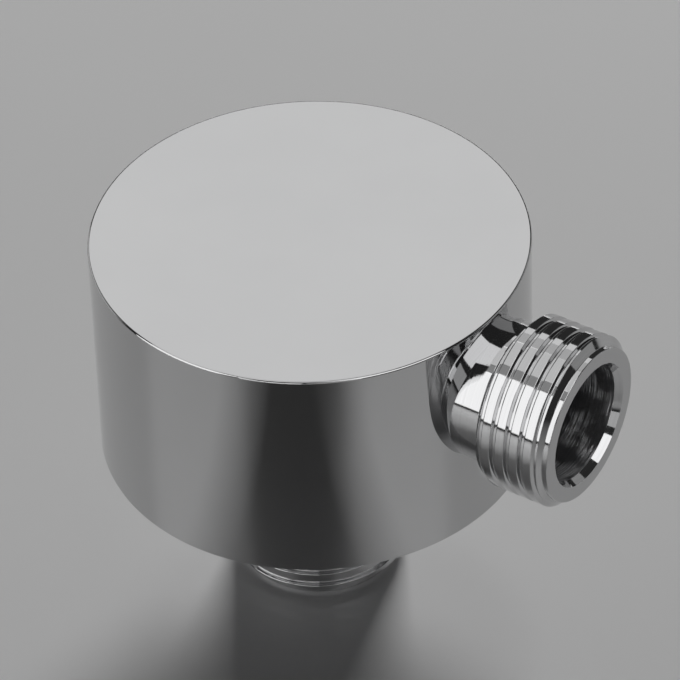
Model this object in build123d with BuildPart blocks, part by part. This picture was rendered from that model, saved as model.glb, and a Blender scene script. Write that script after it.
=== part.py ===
from build123d import *
import math
import os

# A round wall outlet elbow for a hand shower, machined from one piece of brass and chrome plated.
# The frame: the inlet axis is Z, and z = 0 is the plane of the wall that the housing's rim sits on.
# The flat front face looks along +Z, the inlet points along -Z into the wall, the outlet along +X.
# All sizes are in millimetres.

# Round housing
housing_diameter = 51.0
housing_height = 28.5
front_edge_break = 0.25
rim_edge_break = 0.3

# Dished back: only the outer rim touches the wall
rim_width = 3.2
dish_depth = 5.0
dish_corner_radius = 1.2

# Both ends have the same parallel pipe thread, drawn here as its crest cylinder
thread_major_diameter = 20.7
pilot_diameter = 18.4
pilot_length = 0.85
pilot_edge_break = 0.12
neck_diameter = 16.9
shoulder_length = 1.0

# Outlet: the hose end, square to the inlet
outlet_axis_height = 16.8
outlet_reach = 37.4
outlet_threaded_length = 9.7

# Inlet: the spigot that screws into the wall fitting
inlet_reach = 18.5
inlet_threaded_length = 16.0
spigot_root_overlap = 1.0

# Waterway: two drilled bores that meet inside the housing
outlet_bore_diameter = 14.0
inlet_bore_diameter = 15.0
bore_mouth_chamfer = 0.5
drill_point_angle = 118.0

housing_radius = housing_diameter / 2
thread_radius = thread_major_diameter / 2
pilot_radius = pilot_diameter / 2
neck_radius = neck_diameter / 2
crest_chamfer = thread_radius - pilot_radius
spigot_root = -(dish_depth + spigot_root_overlap)

# Each end is turned about its own axis: local x runs outwards along it, local y is the radius
outlet_plane = Plane(origin=(0, 0, outlet_axis_height), x_dir=(1, 0, 0), z_dir=(0, -1, 0))
inlet_plane = Plane(origin=(0, 0, 0), x_dir=(0, 0, -1), z_dir=(0, 1, 0))
outlet_axis = Axis(outlet_plane.origin, outlet_plane.x_dir)
inlet_axis = Axis(inlet_plane.origin, inlet_plane.x_dir)


def end_outline(root, reach, threaded_length):
    """Half the section of a threaded end: neck, shoulder, thread crest, lead-in chamfer and pilot."""
    thread_start = reach - threaded_length
    crest_end = reach - pilot_length - crest_chamfer
    return [
        (root, 0),
        (root, neck_radius),
        (thread_start, neck_radius),
        (thread_start + shoulder_length, thread_radius),
        (crest_end, thread_radius),
        (reach - pilot_length, pilot_radius),
        (reach - pilot_edge_break, pilot_radius),
        (reach, pilot_radius - pilot_edge_break),
        (reach, 0),
    ]


def bore_outline(bottom, reach, bore_radius):
    """Half the section of a drilled bore: the drill's point, its wall and the chamfer at the mouth."""
    point_length = bore_radius / math.tan(math.radians(drill_point_angle / 2))
    outside = 1.0
    return [
        (bottom - point_length, 0),
        (bottom, bore_radius),
        (reach - bore_mouth_chamfer, bore_radius),
        (reach + outside, bore_radius + bore_mouth_chamfer + outside),
        (reach + outside, 0),
    ]


# The body, in the order in which it would be machined
with BuildPart() as elbow_body:
    # The round housing
    with BuildSketch(Plane.XY):
        Circle(housing_radius)
    extrude(amount=housing_height)
    chamfer(elbow_body.edges().group_by(Axis.Z)[-1], length=front_edge_break)
    chamfer(elbow_body.edges().group_by(Axis.Z)[0], length=rim_edge_break)

    # The dish in its back, with a round corner at the floor
    with BuildSketch(Plane.XY):
        Circle(housing_radius - rim_width)
    extrude(amount=dish_depth, mode=Mode.SUBTRACT)
    dish_floor = elbow_body.faces().filter_by(Plane.XY).sort_by(Axis.Z)[1]
    fillet(dish_floor.edges(), radius=dish_corner_radius)

    # The outlet neck leaves the side of the housing and ends in the hose thread
    with BuildSketch(outlet_plane):
        with BuildLine():
            Polyline(*end_outline(0, outlet_reach, outlet_threaded_length), close=True)
        make_face()
    revolve(axis=outlet_axis)

    # The inlet spigot stands in the middle of the dish
    with BuildSketch(inlet_plane):
        with BuildLine():
            Polyline(*end_outline(spigot_root, inlet_reach, inlet_threaded_length), close=True)
        make_face()
    revolve(axis=inlet_axis)

    # The waterway: each bore is drilled to the other's axis
    with BuildSketch(inlet_plane):
        with BuildLine():
            Polyline(
                *bore_outline(-outlet_axis_height, inlet_reach, inlet_bore_diameter / 2), close=True
            )
        make_face()
    revolve(axis=inlet_axis, mode=Mode.SUBTRACT)
    with BuildSketch(outlet_plane):
        with BuildLine():
            Polyline(*bore_outline(0, outlet_reach, outlet_bore_diameter / 2), close=True)
        make_face()
    revolve(axis=outlet_axis, mode=Mode.SUBTRACT)

elbow_body.part.label = "elbow_body"

os.makedirs("parts", exist_ok=True)
export_step(elbow_body.part, "parts/elbow_body.step")
print("elbow_body volume", round(elbow_body.part.volume), "cubic mm")
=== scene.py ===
# %% [markdown]
# # A round wall outlet elbow in bright chrome
#
# This fitting carries water from a pipe in the wall to a shower hose. It is one piece of brass:
# a round housing, a threaded outlet at its side for the hose, and a threaded inlet behind it that
# screws into the wall. Chrome is a mirror, so its looks come from the exact shape and from what
# stands round it. The lesson is therefore about surfaces first, and about finish and light later.
#
# The imported model is loaded as a fixed frame.

import math

import bmesh
import bpy
import numpy as np
from mathutils import Matrix, Vector


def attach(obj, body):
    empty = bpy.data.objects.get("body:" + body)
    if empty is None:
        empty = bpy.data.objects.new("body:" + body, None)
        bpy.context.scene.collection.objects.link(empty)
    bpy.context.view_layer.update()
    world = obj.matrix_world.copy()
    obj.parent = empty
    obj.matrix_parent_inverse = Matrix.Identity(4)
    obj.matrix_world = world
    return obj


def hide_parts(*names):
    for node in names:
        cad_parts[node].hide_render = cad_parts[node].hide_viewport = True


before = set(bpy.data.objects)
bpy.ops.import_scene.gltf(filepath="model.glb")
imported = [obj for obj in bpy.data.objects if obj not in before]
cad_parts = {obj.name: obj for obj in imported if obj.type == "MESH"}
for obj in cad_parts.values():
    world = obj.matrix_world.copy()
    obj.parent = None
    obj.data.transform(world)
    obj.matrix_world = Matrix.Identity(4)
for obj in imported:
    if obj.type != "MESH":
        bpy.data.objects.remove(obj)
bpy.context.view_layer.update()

# %% [markdown]
# ## The camera
#
# A long lens from above shows the front face as a wide ellipse and keeps the side walls almost
# parallel. The turn of the camera is written as three directions: to the right, up, and
# backwards, which is how Blender keeps a camera's own axes.

# %% Place the camera
sensor_width = 36.0
lens_length = 279.16
nearest_seen, farthest_seen = 0.05, 20.0
camera_place = Vector((0.265476, -0.384671, 0.412158))
camera_right = Vector((0.839177, 0.543192, -0.026924))
camera_up = Vector((-0.335929, 0.556637, 0.759807))
camera_back = Vector((0.427708, -0.628568, 0.649591))
camera_turn = Matrix((camera_right, camera_up, camera_back)).transposed()

camera_data = bpy.data.cameras.new("photo_camera")
camera_data.sensor_width = sensor_width
camera_data.lens = lens_length
camera_data.clip_start, camera_data.clip_end = nearest_seen, farthest_seen
camera = bpy.data.objects.new("photo_camera", camera_data)
camera.matrix_world = Matrix.Translation(camera_place) @ camera_turn.to_4x4()
bpy.context.scene.collection.objects.link(camera)
bpy.context.scene.camera = camera
print("camera", round(camera.location.length, 3), "m from the middle of the housing's back")

# %% [markdown]
# ## Sizes
#
# All sizes are in millimetres while the piece is made, because that is how a turner reads them,
# and the finished mesh is scaled to metres once. The inlet axis is Z, the wall is the plane
# z = 0, and the outlet points along X.

# %% The sizes of the fitting
housing_radius = 25.5
housing_height = 28.5
rim_width = 3.2
dish_depth = 5.0
dish_corner = 1.2

crest_radius = 10.35
pilot_radius = 9.35
pilot_length = 0.65
lead_in_length = 0.75
neck_radius = 8.45
shoulder_length = 1.0

outlet_height = 16.8
outlet_reach = 37.4
outlet_thread_length = 9.7
inlet_reach = 18.5
inlet_thread_length = 16.0

outlet_bore_radius = 7.0
inlet_bore_radius = 7.5
mouth_chamfer = 0.5
mouth_slope = math.radians(30)
drill_point = math.radians(118 / 2)

thread_pitch = 1.814
thread_half_angle = math.radians(27.5)
groove_opening = 0.76
groove_depth = 0.42
print("thread turns on the outlet:", round(outlet_thread_length / thread_pitch, 1))

# %% [markdown]
# ## Outlines with softened corners
#
# A turned piece is one outline spun round an axis. A corner of a polished and plated piece is
# never quite sharp, and its tiny radius catches a bright line of light. Each corner of an
# outline is given as (along the axis, radius, rounding).
#
# Every short line of the outline also keeps the direction it faces at both ends. A flat mirror
# that borrows its direction from a neighbour would look dented, so these directions are kept
# until the very end and then laid over the mesh.

# %% Outline helpers
def left_of(direction):
    return Vector((-direction.y, direction.x))


def soft_outline(corners, steps=4):
    """The lines of an outline with rounded corners: (start, facing there, end, facing there)."""
    lines = []
    leave = Vector(corners[0][:2])
    for here, after in zip(corners[1:], corners[2:]):
        corner, rounding = Vector(here[:2]), here[2]
        into = (corner - leave).normalized()
        out = (Vector(after[:2]) - corner).normalized()
        bend = math.atan2(into.x * out.y - into.y * out.x, into.dot(out))
        back_off = rounding * math.tan(abs(bend) / 2)
        arc_start = corner - into * back_off
        lines.append((leave, left_of(into), arc_start, left_of(into)))
        leave = arc_start
        if rounding:
            side = math.copysign(1, -bend)
            centre = arc_start - left_of(into) * rounding * side
            facing = left_of(into)
            for step in range(1, steps + 1):
                turned = left_of(into).copy()
                turned.rotate(Matrix.Rotation(bend * step / steps, 2))
                point = centre + turned * rounding * side
                lines.append((leave, facing, point, turned))
                leave, facing = point, turned
    last = Vector(corners[-1][:2])
    facing = left_of((last - leave).normalized())
    lines.append((leave, facing, last, facing))
    return lines


square_corner = soft_outline([(0, 0, 0), (1, 0, 0.1), (1, 1, 0)])
print("a softened square corner has", len(square_corner), "lines")

# %% [markdown]
# ## Three axes
#
# The housing and both ends are turned. The axes of the housing and the inlet lie on one line and
# point opposite ways, and the outlet's is square to them. A turned body is a row of copies of one
# outline, each at its own angle. With a lead the copies also climb along the axis, which is what a
# threading tool does.

# %% Axes and copies of an outline
# Each axis has an origin, a direction outwards along it, and a direction for angle zero.
HOUSING_AXIS, OUTLET_AXIS, INLET_AXIS = range(3)
AXES = [
    (Vector((0, 0, 0)), Vector((0, 0, 1)), Vector((1, 0, 0))),
    (Vector((0, 0, outlet_height)), Vector((1, 0, 0)), Vector((0, 1, 0))),
    (Vector((0, 0, 0)), Vector((0, 0, -1)), Vector((1, 0, 0))),
]


def ring_of_points(shape, points, axis, angle, lead):
    """One copy of the outline, turned to the angle and moved along the axis by the lead."""
    origin, along, across = AXES[axis]
    radial = across * math.cos(angle) + along.cross(across) * math.sin(angle)
    climb = lead * angle / (2 * math.pi)
    return [shape.verts.new(origin + along * (p.x + climb) + radial * p.y) for p in points]


def as_object(name, shape):
    """Turns a shape under construction into an object of the scene."""
    mesh = bpy.data.meshes.new(name)
    shape.to_mesh(mesh)
    shape.free()
    made = bpy.data.objects.new(name, mesh)
    bpy.context.scene.collection.objects.link(made)
    print(name, len(mesh.polygons), "faces")
    return made


print("axes to turn about:", len(AXES))

# %% [markdown]
# ## Spinning an outline
#
# One function turns an outline into a body. It writes two notes on every face corner, in two
# plain coordinate layers: the direction that the outline faces there, and which axis and lead
# made the face. Boolean cuts carry such notes along to the faces that they leave. Each face also
# gets the number of its finish, which may depend on where its line starts on the outline.

# %% Spin an outline round an axis
WELD_DISTANCE = 1e-5


def spin(name, lines, axis, finish, steps=240, lead=0.0, start=0.0, turns=1.0):
    """The finish is a number, or a function that gives one for the place where a line starts."""
    shape = bmesh.new()
    facing_note = shape.loops.layers.uv.new("facing")
    axis_note = shape.loops.layers.uv.new("axis")
    points = [line[0] for line in lines] + [lines[-1][2]]
    count = round(steps * turns)
    rows = []
    for turn in range(count + 1 if lead else count):
        angle = start + 2 * math.pi * turn / steps
        rows.append(ring_of_points(shape, points, axis, angle, lead))
    pairs = list(zip(rows, rows[1:]))
    if not lead:
        pairs.append((rows[-1], rows[0]))
    for row, following in pairs:
        for place, (_, facing, _, facing_next) in enumerate(lines):
            corners = (row[place], row[place + 1], following[place + 1], following[place])
            face = shape.faces.new(corners)
            face.material_index = finish(points[place]) if callable(finish) else finish
            for loop, note in zip(face.loops, (facing, facing_next, facing_next, facing)):
                loop[facing_note].uv = note
                loop[axis_note].uv = (axis, lead)
    if lead:
        # A helix needs a flat cap at each end. The last point of its outline is the first again.
        shape.faces.new(rows[0][:-1][::-1])
        shape.faces.new(rows[-1][:-1])
    bmesh.ops.remove_doubles(shape, verts=shape.verts, dist=WELD_DISTANCE)
    bmesh.ops.recalc_face_normals(shape, faces=shape.faces)
    if lead:
        bmesh.ops.triangulate(shape, faces=shape.faces)
    return as_object(name, shape)


print("points closer than", WELD_DISTANCE, "mm are welded into one")

# %% [markdown]
# ## The housing
#
# The round housing has a flat front, a straight wall and a dished back whose rim sits on the
# tiles. The front edge is only just broken, so it shows as one thin line. The outside is
# polished, while the dish keeps its turning rings, because nobody polishes what faces the wall.

# %% Turn the housing
MIRROR, DISH, OUTLET, INLET, OUTLET_BORE, INLET_BORE = range(6)

edge_rounding = 0.25
rim_rounding = 0.3
dish_radius = housing_radius - rim_width
housing_corners = [
    (dish_depth, 0, 0),
    (dish_depth, dish_radius, dish_corner),
    (0, dish_radius, edge_rounding),
    (0, housing_radius, rim_rounding),
    (housing_height, housing_radius, edge_rounding),
    (housing_height, 0, 0),
]
rounding_error = 0.01


def housing_finish(point):
    in_dish = point.y < dish_radius + rounding_error and point.x < housing_height
    return DISH if in_dish else MIRROR


housing_lines = soft_outline(housing_corners, steps=6)
body = spin("wall_elbow_body", housing_lines, HOUSING_AXIS, housing_finish, steps=360)

# %% [markdown]
# ## The two threaded ends
#
# The hose end and the wall end were turned with the same tools: a plain neck, a short shoulder,
# the thread with its flat crests, a lead-in chamfer, and a narrow pilot before the end face.

# %% Turn the two ends
neck_rounding = 0.3
shoulder_rounding = 0.15
crest_rounding = 0.08
pilot_rounding = 0.1
end_rounding = 0.12
spigot_overlap = 1.0


def threaded_end(name, root, reach, thread_length, axis, finish):
    thread_start = reach - thread_length
    pilot_start = reach - pilot_length
    crest_end = pilot_start - lead_in_length
    corners = [
        (root, 0, 0),
        (root, neck_radius, 0),
        (thread_start, neck_radius, neck_rounding),
        (thread_start + shoulder_length, crest_radius, shoulder_rounding),
        (crest_end, crest_radius, crest_rounding),
        (pilot_start, pilot_radius, pilot_rounding),
        (reach, pilot_radius, end_rounding),
        (reach, 0, 0),
    ]
    return spin(name, soft_outline(corners), axis, finish)


inlet_root = -dish_depth - spigot_overlap
outlet = threaded_end("outlet", 0, outlet_reach, outlet_thread_length, OUTLET_AXIS, OUTLET)
inlet = threaded_end("inlet", inlet_root, inlet_reach, inlet_thread_length, INLET_AXIS, INLET)

# %% [markdown]
# ## Cutting and joining
#
# The fitting is made as a machinist makes it: bodies are joined, and tools cut material away.
# Blender's manifold boolean does both, and leaves sharp, true intersection lines. The tool is
# used up by it.

# %% Join and cut
def combine(body, tool, operation):
    step = body.modifiers.new(operation, "BOOLEAN")
    step.object = tool
    step.operation = operation
    step.solver = "MANIFOLD"
    bpy.context.view_layer.update()
    evaluated = bpy.context.evaluated_depsgraph_get()
    made = bpy.data.meshes.new_from_object(
        body.evaluated_get(evaluated), preserve_all_data_layers=True, depsgraph=evaluated
    )
    body.modifiers.clear()
    body.data = made
    bpy.data.objects.remove(tool)
    print(operation.lower(), body.name, len(made.polygons), "faces")


print("bodies to join:", body.name, outlet.name, inlet.name)

# %% [markdown]
# ## The groove
#
# A pipe thread is one groove that winds round the end. Its section is a narrow V with a
# rounded bottom between broad flat crests. The sides of the cutter go on past the crest and
# flare, so that the cut also leaves the crest's corners soft.

# %% The section of the groove
groove_rounding = 0.1
crest_sink = 0.02
flare_along, flare_out = 0.33, 0.16


def groove_lines():
    """The closed section of the groove cutter, with its middle at zero along the axis."""
    half = groove_opening / 2
    bottom = half - groove_depth * math.tan(thread_half_angle)
    corners = [
        (half + flare_along, crest_radius + flare_out, 0),
        (half, crest_radius - crest_sink, groove_rounding),
        (bottom, crest_radius - groove_depth, groove_rounding),
        (-bottom, crest_radius - groove_depth, groove_rounding),
        (-half, crest_radius - crest_sink, groove_rounding),
        (-half - flare_along, crest_radius + flare_out, 0),
    ]
    lines = soft_outline(corners, steps=3)
    outwards = Vector((0, 1))
    lines.append((lines[-1][2], outwards, lines[0][0], outwards))
    return lines


print("lines in the groove's section:", len(groove_lines()))

# %% [markdown]
# ## The thread
#
# The groove's section is spun with a lead of one pitch, right-handed, and runs out through the
# shoulder and the chamfer. Half a degree of turn keeps the cutter's corners off those of the end.

# %% Cut the two threads
cutter_steps = 180
half_degree = math.radians(0.5)


def cut_thread(end, axis, finish, first_along, last_along, phase):
    """At angle zero the middle of a groove lies at the phase, measured along the axis."""
    turns_before = (phase - first_along) / thread_pitch
    start = -2 * math.pi * turns_before + half_degree
    turns = (last_along - first_along) / thread_pitch
    shift = Vector((phase, 0))
    lines = [
        (line_start + shift, facing, line_end + shift, facing_next)
        for line_start, facing, line_end, facing_next in groove_lines()
    ]
    cutter = spin("groove", lines, axis, finish, cutter_steps, thread_pitch, start, turns)
    combine(end, cutter, "DIFFERENCE")


outlet_phase = 29.5 + groove_opening / 2
inlet_phase = 14.12
cut_thread(outlet, OUTLET_AXIS, OUTLET, first_along=26.8, last_along=37.5, phase=outlet_phase)
cut_thread(inlet, INLET_AXIS, INLET, first_along=1.4, last_along=18.6, phase=inlet_phase)

# %% [markdown]
# ## The waterway
#
# Two drilled bores meet inside. Each ends in the cone of the drill's point, and each mouth has
# a small chamfer that catches the light. The chamfer was turned together with the end, so it has
# that end's finish and not the bore's.

# %% Drill the bores
drill_overshoot = 1.0
drill_rounding = 0.1
mouth_rounding = 0.06
mouth_margin = 0.02
chamfer_length = mouth_chamfer / math.tan(mouth_slope)


def drill(name, bottom, reach, radius, axis, finish):
    """The softened corner of the mouth begins a little before it, within the margin."""
    mouth = reach - chamfer_length
    widest = radius + mouth_chamfer + drill_overshoot * math.tan(mouth_slope)
    corners = [
        (bottom - radius / math.tan(drill_point), 0, 0),
        (bottom, radius, drill_rounding),
        (mouth, radius, mouth_rounding),
        (reach + drill_overshoot, widest, 0),
        (reach + drill_overshoot, 0, 0),
    ]
    mouth_finish = OUTLET if axis == OUTLET_AXIS else INLET

    def drill_finish(point):
        return mouth_finish if point.x > mouth - mouth_margin else finish

    return spin(name, soft_outline(corners), axis, drill_finish)


combine(body, outlet, "UNION")
combine(body, inlet, "UNION")
inlet_drill = drill(
    "inlet_drill", -outlet_height, inlet_reach, inlet_bore_radius, INLET_AXIS, INLET_BORE
)
combine(body, inlet_drill, "DIFFERENCE")
outlet_drill = drill("outlet_drill", 0, outlet_reach, outlet_bore_radius, OUTLET_AXIS, OUTLET_BORE)
combine(body, outlet_drill, "DIFFERENCE")

# %% [markdown]
# ## Reading the mesh as tables
#
# The mesh now has many thousands of corners, too many to visit one by one. Blender hands over a
# whole column of values at once, such as all the notes or all the places, and the arithmetic
# after that is done on entire tables.

# %% Read a column of values
def column(items, attribute, width, kind=np.float32):
    values = np.empty(width * len(items), kind)
    items.foreach_get(attribute, values)
    return values.reshape(-1, width)


def column_of_numbers(items, attribute):
    return column(items, attribute, 1, np.int32).ravel()


axis_notes = column(body.data.uv_layers["axis"].uv, "vector", 2)
print("corners made about each axis:", np.bincount(np.rint(axis_notes[:, 0]).astype(int)))

# %% [markdown]
# ## True directions on every corner
#
# From the axis, the lead and the facing of each corner follows the exact direction of the turned
# surface at that point. A plain body faces away from its axis, tilted as its outline is. A helix
# leans to the side as well, the more so the closer it lies to the axis.

# %% Work out the true directions
TINY = 1e-9


def lengths(vectors):
    return np.maximum(np.linalg.norm(vectors, axis=1), TINY)[:, None]


def true_directions(mesh):
    facing = column(mesh.uv_layers["facing"].uv, "vector", 2).astype(float)
    made = column(mesh.uv_layers["axis"].uv, "vector", 2).astype(float)
    corner_vertex = column_of_numbers(mesh.loops, "vertex_index")
    points = column(mesh.vertices, "co", 3).astype(float)[corner_vertex]
    corners_of_face = column_of_numbers(mesh.polygons, "loop_total")
    flat = np.repeat(column(mesh.polygons, "normal", 3), corners_of_face, axis=0)
    directions = flat.copy()
    for number, (origin, along, _) in enumerate(AXES):
        here = np.rint(made[:, 0]) == number
        along = np.array(along)
        offset = points[here] - np.array(origin)
        offset = offset - np.outer(offset @ along, along)
        radius = lengths(offset)
        radial = offset / radius
        around = np.cross(along, radial)
        facing_along, facing_out = facing[here, :1], facing[here, 1:]
        slope = made[here, 1:] / (2 * math.pi * radius)
        exact = facing_out * radial + facing_along * (along - slope * around)
        exact /= lengths(exact)
        # The sign comes from the face itself, because a cut turns a tool's surface inside out.
        side = np.sign(np.sum(exact * flat[here], axis=1))[:, None]
        directions[here] = exact * side
    return directions


directions = true_directions(body.data)
print("exact directions for", len(directions), "corners")

# %% [markdown]
# ## Laying them over the mesh
#
# The mesh is scaled to metres, and the directions become its custom normals. A mesh of flat
# faces then reflects like a true cylinder, cone or helix. The notes have done their work and go.

# %% Lay the true directions over the mesh
metres_per_millimetre = 0.001
body.data.transform(Matrix.Scale(metres_per_millimetre, 4))
body.data.polygons.foreach_set("use_smooth", [True] * len(body.data.polygons))
body.data.normals_split_custom_set(directions.tolist())
for note in ("facing", "axis"):
    body.data.uv_layers.remove(body.data.uv_layers[note])
print("custom normals:", body.data.has_custom_normals)

# %% [markdown]
# ## Small helpers for the finishes
#
# Every finish below is made of the same few steps: a pattern, the range that it is spread over,
# and a colour that it mixes. These helpers keep the recipes short. A value that is the same all
# over goes straight onto the shader's own socket.

# %% Helpers for nodes
def new_finish(name, metallic=1.0):
    material = bpy.data.materials.new(name)
    material.use_nodes = True
    shader = material.node_tree.nodes["Principled BSDF"]
    shader.inputs["Metallic"].default_value = metallic
    return material, material.node_tree, shader


def add_node(tree, kind, values=None, **settings):
    node = tree.nodes.new("ShaderNode" + kind)
    for name, value in settings.items():
        setattr(node, name, value)
    for name, value in (values or {}).items():
        node.inputs[name].default_value = value
    return node


def feed(tree, value, socket):
    """Links an output to a socket, or writes a plain value onto it."""
    if isinstance(value, bpy.types.NodeSocket):
        tree.links.new(value, socket)
    else:
        socket.default_value = value


def arithmetic(tree, operation, first, second):
    node = add_node(tree, "Math", operation=operation)
    feed(tree, first, node.inputs[0])
    feed(tree, second, node.inputs[1])
    return node.outputs[0]


def own_place(tree):
    return add_node(tree, "TexCoord").outputs["Object"]


print("node helpers ready")

# %% [markdown]
# ## Patterns
#
# Noise gives soft clouds, at a given number to the metre. Pits sit in the middle of those cells
# of a cell pattern that a random colour picks out, and a small share keeps them rare.

# %% Helpers for patterns
FLAT_PART_OF_A_PIT = 0.6


def noise(tree, where, scale, detail, roughness=0.5):
    node = add_node(tree, "TexNoise", {"Scale": scale, "Detail": detail, "Roughness": roughness})
    feed(tree, where, node.inputs["Vector"])
    return node.outputs["Fac"]


def spread(tree, pattern, low, high, start=0.3, end=0.7):
    """Spreads the part of a pattern between start and end over low to high."""
    values = {"From Min": start, "From Max": end, "To Min": low, "To Max": high}
    node = add_node(tree, "MapRange", values)
    feed(tree, pattern, node.inputs["Value"])
    return node.outputs["Result"]


def fine_pits(tree, where, per_metre, share, size):
    """A mask of round pits in a share of the cells: 1 inside a pit, 0 elsewhere."""
    cells = add_node(tree, "TexVoronoi", {"Scale": per_metre, "Randomness": 1.0})
    feed(tree, where, cells.inputs["Vector"])
    flat_size = size * FLAT_PART_OF_A_PIT
    inside = spread(tree, cells.outputs["Distance"], 1.0, 0.0, flat_size, size)
    pick = add_node(tree, "SeparateColor")
    feed(tree, cells.outputs["Color"], pick.inputs["Color"])
    chosen = arithmetic(tree, "LESS_THAN", pick.outputs["Red"], share)
    return arithmetic(tree, "MULTIPLY", inside, chosen)


print("pattern helpers ready")

# %% [markdown]
# ## Colour, relief and roughness
#
# The mixing node keeps sockets for numbers, vectors and colours side by side, so the ones for
# colour are called by their place. The last helper lays a pattern's roughness and colour on the
# plate, with the pits on top.

# %% Helpers for laying a pattern on the plate
FIRST_COLOUR, SECOND_COLOUR, MIXED_COLOUR = 6, 7, 2


def blend_colours(tree, share, first, second):
    node = add_node(tree, "Mix", data_type="RGBA")
    feed(tree, share, node.inputs["Factor"])
    for place, colour in ((FIRST_COLOUR, first), (SECOND_COLOUR, second)):
        opaque = (*colour, 1) if isinstance(colour, tuple) else colour
        feed(tree, opaque, node.inputs[place])
    return node.outputs[MIXED_COLOUR]


def add_bump(tree, shader, height, depth):
    """Depth is the height in metres between the pattern's 0 and 1."""
    node = add_node(tree, "Bump", {"Strength": 1.0, "Distance": depth})
    feed(tree, height, node.inputs["Height"])
    feed(tree, node.outputs["Normal"], shader.inputs["Normal"])


def lay_plate(tree, shader, pattern, roughness, colours, pits, pit_roughness, pit_colour):
    """Roughness is low and high, and where need be the part of the pattern that they span."""
    plain = spread(tree, pattern, *roughness)
    added = spread(tree, pits, low=0.0, high=pit_roughness, start=0, end=1)
    feed(tree, arithmetic(tree, "ADD", plain, added), shader.inputs["Roughness"])
    clean = blend_colours(tree, pattern, *colours)
    feed(tree, blend_colours(tree, pits, clean, pit_colour), shader.inputs["Base Color"])


print("plate helpers ready")

# %% [markdown]
# ## Mirror chrome
#
# Chrome plate over polished brass is a neutral grey mirror. Two things keep it from looking like
# a computer's perfect mirror. The buffing wheel leaves a slow unevenness, less than two
# thousandths of a millimetre over two or three millimetres, which makes straight reflections
# waver. And the plate holds a few tiny pits, with a little haze that comes and goes. All of it is
# set in the object's own coordinates, at those real sizes.

# %% Mirror chrome
mirror_chrome, tree, shader = new_finish("mirror_chrome")
where = own_place(tree)
haze = noise(tree, where, scale=90.0, detail=3.0)
pits = fine_pits(tree, where, per_metre=700.0, share=0.02, size=0.05)
lay_plate(
    tree,
    shader,
    pattern=haze,
    roughness=(0.022, 0.05),
    colours=((0.59, 0.591, 0.596), (0.63, 0.631, 0.635)),
    pits=pits,
    pit_roughness=0.12,
    pit_colour=(0.5, 0.5, 0.505),
)
buffing = noise(tree, where, scale=420.0, detail=1.5)
add_bump(tree, shader, buffing, depth=1.6e-6)
print(mirror_chrome.name, len(tree.nodes), "nodes")

# %% [markdown]
# ## Turned chrome
#
# The two threaded ends are plated straight over the lathe's finish. A lathe leaves fine rings
# round the axis, each tilted a little to one side or the other, and they pull every reflection
# apart into thin streaks. A noise that depends only on the place along the axis gives such rings.
# A slow second noise lets them fade in and out, as the plate fills them here and there.

# %% Turned chrome
def along_axis(tree, axis):
    """The distance along X or Z, or from the Z axis for rings on a flat face."""
    where = own_place(tree)
    split = add_node(tree, "SeparateXYZ")
    feed(tree, where, split.inputs[0])
    if axis != "radius":
        return where, split.outputs[axis]
    flat = add_node(tree, "CombineXYZ")
    for side in ("X", "Y"):
        feed(tree, split.outputs[side], flat.inputs[side])
    length = add_node(tree, "VectorMath", operation="LENGTH")
    feed(tree, flat.outputs[0], length.inputs[0])
    return where, length.outputs["Value"]


def turned_finish(name, axis, ring, depth, roughness, colours, fade_per_metre):
    """Rings of about the given width and depth in metres, round the given axis."""
    material, tree, shader = new_finish(name)
    where, distance = along_axis(tree, axis)
    values = {"Scale": 1 / ring, "Detail": 4.0, "Roughness": 0.6}
    rings = add_node(tree, "TexNoise", values, noise_dimensions="1D")
    feed(tree, distance, rings.inputs["W"])
    fade = noise(tree, where, fade_per_metre, detail=2.0)
    shown = spread(tree, fade, low=0.1, high=1.0, start=0.4, end=0.62)
    add_bump(tree, shader, arithmetic(tree, "MULTIPLY", rings.outputs["Fac"], shown), depth)
    pits = fine_pits(tree, where, per_metre=900.0, share=0.05, size=0.08)
    lay_plate(
        tree,
        shader,
        pattern=rings.outputs["Fac"],
        roughness=roughness,
        colours=colours,
        pits=pits,
        pit_roughness=0.25,
        pit_colour=(0.4, 0.4, 0.41),
    )
    print(name, len(tree.nodes), "nodes")
    return material


thread_rings = {
    "ring": 0.00028,
    "depth": 1.6e-6,
    "roughness": (0.03, 0.085),
    "colours": ((0.56, 0.561, 0.567), (0.66, 0.661, 0.666)),
    "fade_per_metre": 160.0,
}
turned_outlet = turned_finish("turned_chrome_outlet", "X", **thread_rings)
turned_inlet = turned_finish("turned_chrome_inlet", "Z", **thread_rings)

# %% [markdown]
# ## The dish
#
# Behind the housing the lathe's rings stay open to see, wider and duller than on the thread,
# because the back was faced in one quick cut. The same recipe makes them, with the distance from
# the inlet axis in the place of the distance along it.

# %% The dish
dish_rings = {
    "ring": 0.0005,
    "depth": 7e-6,
    "roughness": (0.16, 0.3),
    "colours": ((0.5, 0.5, 0.51), (0.6, 0.6, 0.61)),
    "fade_per_metre": 90.0,
}
turned_dish = turned_finish("turned_dish", "radius", **dish_rings)

# %% [markdown]
# ## The bores
#
# Inside the waterway the drill has left short scratches that run round the hole, and only a
# thin, dull layer of plate has reached in. A noise that is squeezed twenty times as tightly along
# the axis as across it gives such scratches. They come in patches, and they are steep enough to
# throw some light back out of the dark hole.

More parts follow.
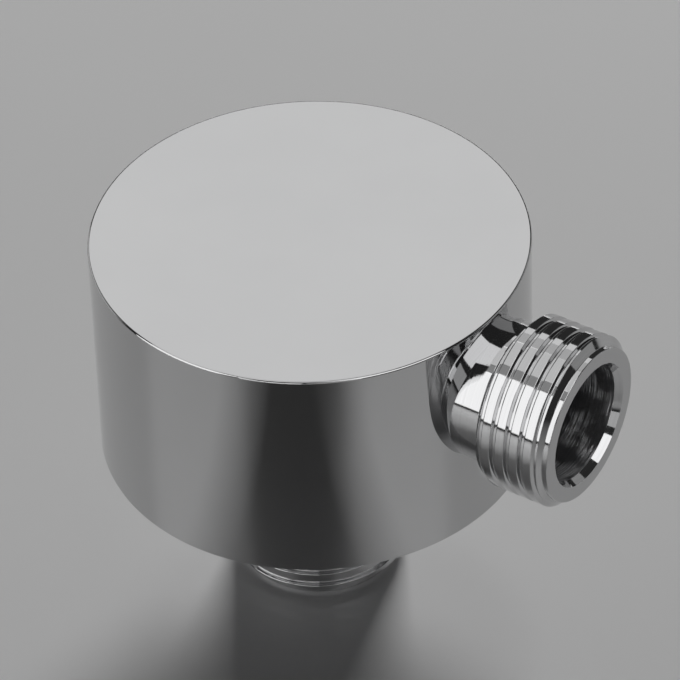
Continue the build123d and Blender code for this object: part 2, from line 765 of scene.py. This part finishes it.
# %% The bores
def bore_finish(name, axis):
    material, tree, shader = new_finish(name)
    where = own_place(tree)
    tight, loose = 5200.0, 260.0
    squeezed = add_node(tree, "VectorMath", operation="MULTIPLY")
    feed(tree, where, squeezed.inputs[0])
    squeeze = (tight, loose, loose) if axis == "X" else (loose, loose, tight)
    feed(tree, squeeze, squeezed.inputs[1])
    scratches = noise(tree, squeezed.outputs[0], scale=1.0, detail=3.0, roughness=0.6)
    patches = noise(tree, where, scale=330.0, detail=2.0)
    deep = spread(tree, scratches, low=0.0, high=1.0, start=0.42, end=0.64)
    shown = spread(tree, patches, low=0.1, high=1.0, start=0.42, end=0.6)
    worn = arithmetic(tree, "MULTIPLY", deep, shown)
    pits = fine_pits(tree, where, per_metre=1100.0, share=0.3, size=0.09)
    lay_plate(
        tree,
        shader,
        pattern=worn,
        roughness=(0.32, 0.55, 0, 1),
        colours=((0.4, 0.4, 0.41), (0.86, 0.86, 0.87)),
        pits=pits,
        pit_roughness=0.2,
        pit_colour=(0.85, 0.85, 0.85),
    )
    add_bump(tree, shader, worn, depth=3.2e-5)
    print(name, len(tree.nodes), "nodes")
    return material


outlet_bore = bore_finish("bore_chrome_outlet", "X")
inlet_bore = bore_finish("bore_chrome_inlet", "Z")

# %% [markdown]
# ## Giving each face its finish
#
# The cuts have carried the number of each face's finish along. Blender's boolean adds a slot of
# its own, so the slots are cleared, filled in the right order, and the numbers laid back.

# %% Fill the slots
finishes = column_of_numbers(body.data.polygons, "material_index")
body.data.materials.clear()
for finish in (mirror_chrome, turned_dish, turned_outlet, turned_inlet, outlet_bore, inlet_bore):
    body.data.materials.append(finish)
body.data.polygons.foreach_set("material_index", finishes)
print("faces per finish:", np.bincount(finishes))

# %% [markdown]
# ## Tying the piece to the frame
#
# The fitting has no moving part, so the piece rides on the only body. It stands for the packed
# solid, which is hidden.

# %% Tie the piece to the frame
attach(body, "root")
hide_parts("elbow_body")
print(body.name, "rides on root and stands for elbow_body")

# %% [markdown]
# ## The floor
#
# The fitting stands on its inlet on a plain, pale, slightly polished floor. Chrome shows little
# but its surroundings: the straight wall of the housing looks only at the floor in front of it,
# so the soft shadow there is what makes the wall dark in the middle.

# %% Floor
floor_radius = 4.0
floor_shape = bmesh.new()
bmesh.ops.create_circle(floor_shape, cap_ends=True, segments=128, radius=floor_radius)
floor = as_object("studio_floor", floor_shape)
floor.location.z = -inlet_reach / 1000

pale_floor, tree, shader = new_finish("pale_floor", metallic=0.0)
mottle = noise(tree, own_place(tree), scale=14.0, detail=4.0)
pale = blend_colours(tree, mottle, (0.79, 0.79, 0.79), (0.81, 0.81, 0.81))
feed(tree, pale, shader.inputs["Base Color"])
feed(tree, spread(tree, mottle, low=0.2, high=0.26), shader.inputs["Roughness"])
floor.data.materials.append(pale_floor)
print("floor at", round(floor.location.z * 1000, 2), "mm")

# %% [markdown]
# ## A soft box
#
# Each soft box is placed by the direction it is seen in from the fitting, and its power follows
# from how bright its surface should look, because that is what a mirror shows. An even, flat
# lamp gives off pi times its area times that brightness.

# %% One soft box
def soft_light(name, azimuth, elevation, width, height, brightness, distance=1.0, for_polish=True):
    """A soft box that looks at the piece. Azimuth 0 is behind it, as the camera sees it."""
    behind = math.atan2(-camera_back.y, -camera_back.x) + math.radians(azimuth)
    rise = math.radians(elevation)
    data = bpy.data.lights.new(name, "AREA")
    data.shape = "RECTANGLE"
    data.size, data.size_y = width, height
    data.energy = brightness * math.pi * width * height
    lamp = bpy.data.objects.new(name, data)
    to_the_side = math.cos(rise) * math.sin(behind)
    outwards = Vector((math.cos(rise) * math.cos(behind), to_the_side, math.sin(rise)))
    lamp.location = outwards * distance
    lamp.rotation_mode = "QUATERNION"
    lamp.rotation_quaternion = outwards.to_track_quat("Z", "Y")
    lamp.visible_diffuse = not for_polish
    lamp.visible_glossy = for_polish
    bpy.context.scene.collection.objects.link(lamp)


print("a lamp of brightness 1 gives", round(math.pi, 2), "watts for each square metre")

# %% [markdown]
# ## The boxes and the world
#
# The boxes for the polish give the floor no plain light, as if they carried grids, and only glint
# in its slight polish. One more lamp lights the floor from behind, low and soft, and isn't seen in
# the metal. Where two boxes are stacked, as behind the fitting, their edges have to meet: a gap
# shows in the thread as a thin dark line, and an overlap as a bright one.

# %% Light
# Azimuth and elevation in degrees, width and height in metres, then the brightness.
soft_boxes = {
    "back_box": (0, 40, 0.55, 0.165, 0.82),
    "high_box": (0, 52.05, 0.55, 0.262, 0.54),
    "top_box": (42, 66, 0.58, 0.33, 0.72),
    "top_glow": (95.5, 60, 0.16, 0.3, 0.3),
    "left_box": (114, 29.5, 0.86, 1.06, 1.38),
    "right_box": (-137, 48, 0.76, 0.74, 1.38),
    "side_glow": (-70, 18, 0.95, 0.54, 0.28),
    "front_box": (160, 15, 0.5, 0.38, 1.38),
    "front_glow": (-171, 14, 0.44, 0.4, 0.5),
    "back_left_box": (55, 18, 0.8, 0.5, 0.6),
    "ceiling_box": (0, 89, 0.5, 0.5, 0.8),
}
for name, placing in soft_boxes.items():
    soft_light(name, *placing)
soft_light("floor_key", -10, 22, 0.45, 0.25, 40.0, distance=1.2, for_polish=False)

world_strength = 0.03
world = bpy.data.worlds.new("studio")
world.use_nodes = True
background = world.node_tree.nodes["Background"]
background.inputs["Color"].default_value = (1, 1, 1, 1)
background.inputs["Strength"].default_value = world_strength
bpy.context.scene.world = world
bpy.context.scene.view_settings.view_transform = "Standard"
